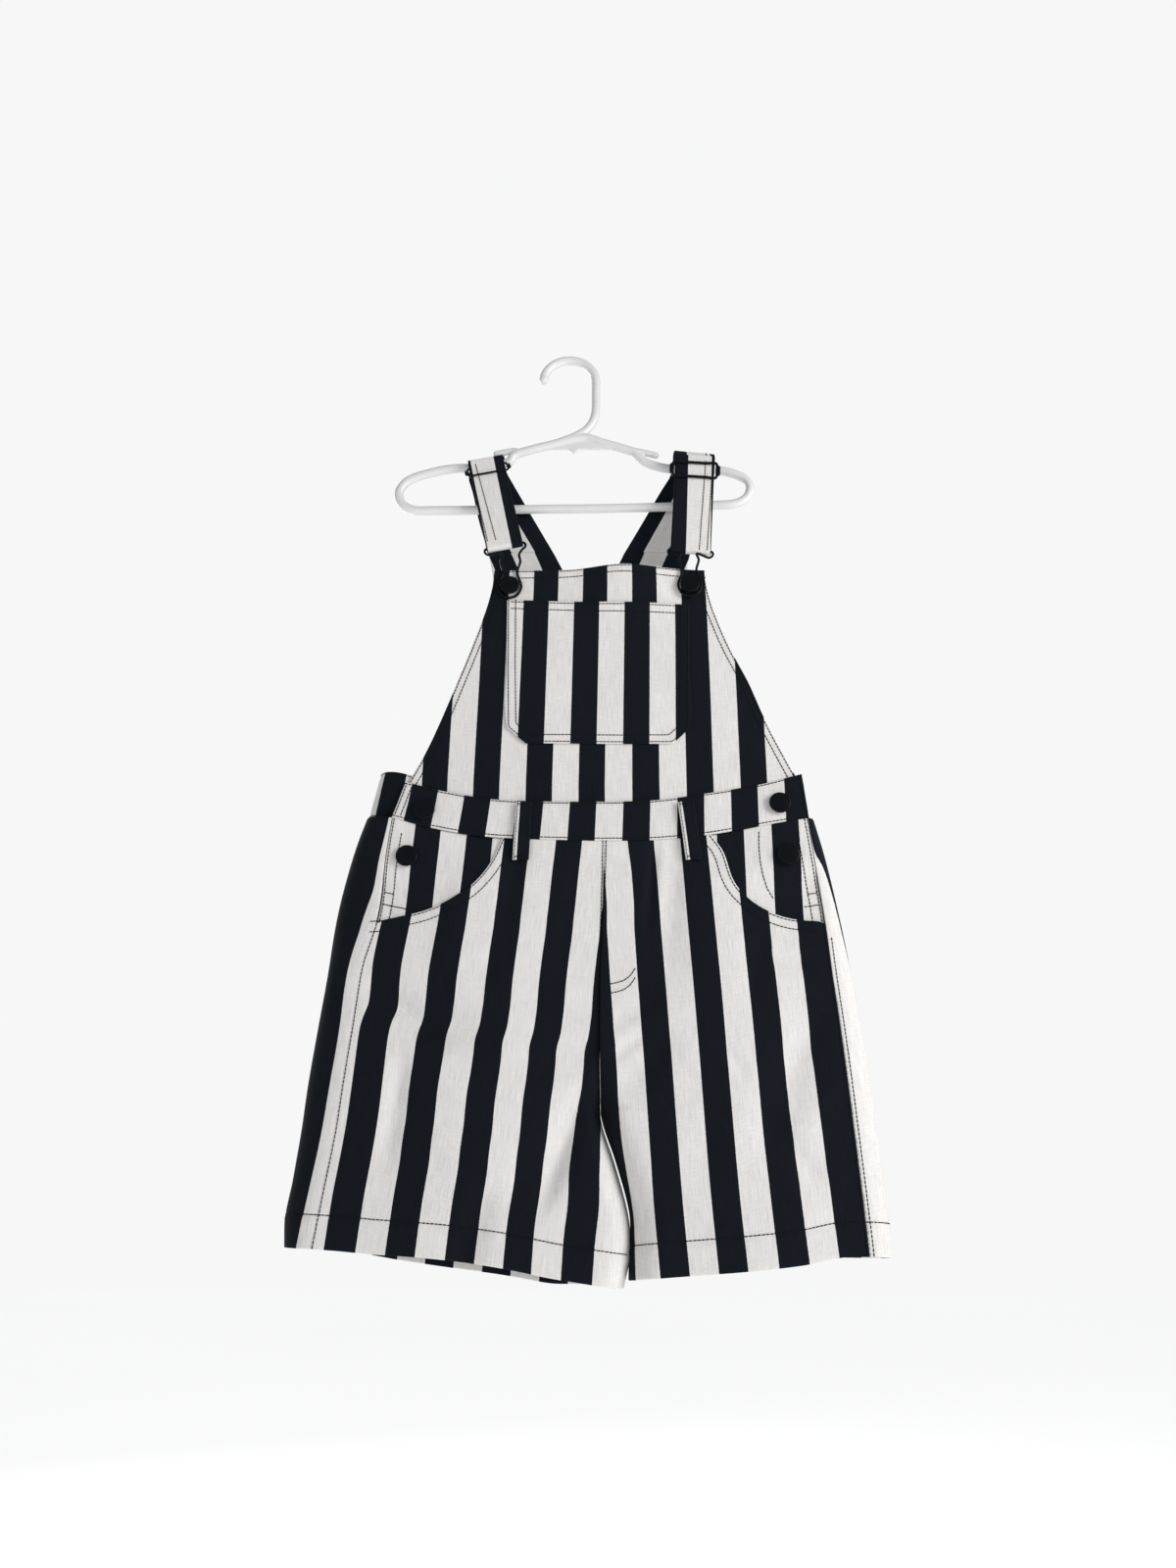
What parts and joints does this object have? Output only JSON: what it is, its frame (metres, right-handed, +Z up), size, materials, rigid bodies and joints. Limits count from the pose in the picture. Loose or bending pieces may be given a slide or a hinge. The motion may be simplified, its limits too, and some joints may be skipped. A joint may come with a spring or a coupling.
{
  "type": "kids bib overalls on a plastic hanger",
  "caption": "Striped twill bib overalls with short legs for a child, hanging by their straps on a moulded hanger with a swan-neck hook",
  "frame": {"origin": "inside top of the hanger's hook, where it rests on a rod", "axes": "+Z up, +X toward the viewer's right, +Y away from the viewer, so the garment's front faces -Y"},
  "size_m": [0.4388, 0.069, 0.8263],
  "materials": {
    "striped_twill": "cotton twill with even vertical stripes of near-black and off-white, matt",
    "black_metal": "black enamel with a soft shine",
    "white_plastic": "white moulded plastic with a mild gloss"
  },
  "bodies": {
    "root": {"bib_front": "striped_twill", "bib_pocket": "striped_twill", "back_bib": "striped_twill", "strap_left": "striped_twill", "strap_right": "striped_twill", "waistband_front": "striped_twill", "waistband_back": "striped_twill", "belt_loop_left": "striped_twill", "belt_loop_right": "striped_twill", "leg_front_left": "striped_twill", "leg_front_right": "striped_twill", "leg_back_left": "striped_twill", "leg_back_right": "striped_twill", "pocket_facing_left": "striped_twill", "pocket_facing_right": "striped_twill", "slider_left": "black_metal", "slider_right": "black_metal", "buckle_left": "black_metal", "buckle_right": "black_metal", "bib_button_left": "black_metal", "bib_button_right": "black_metal", "side_button_upper_left": "black_metal", "side_button_lower_left": "black_metal", "side_button_upper_right": "black_metal", "side_button_lower_right": "black_metal", "hanger": "white_plastic"}
  },
  "joints": []
}
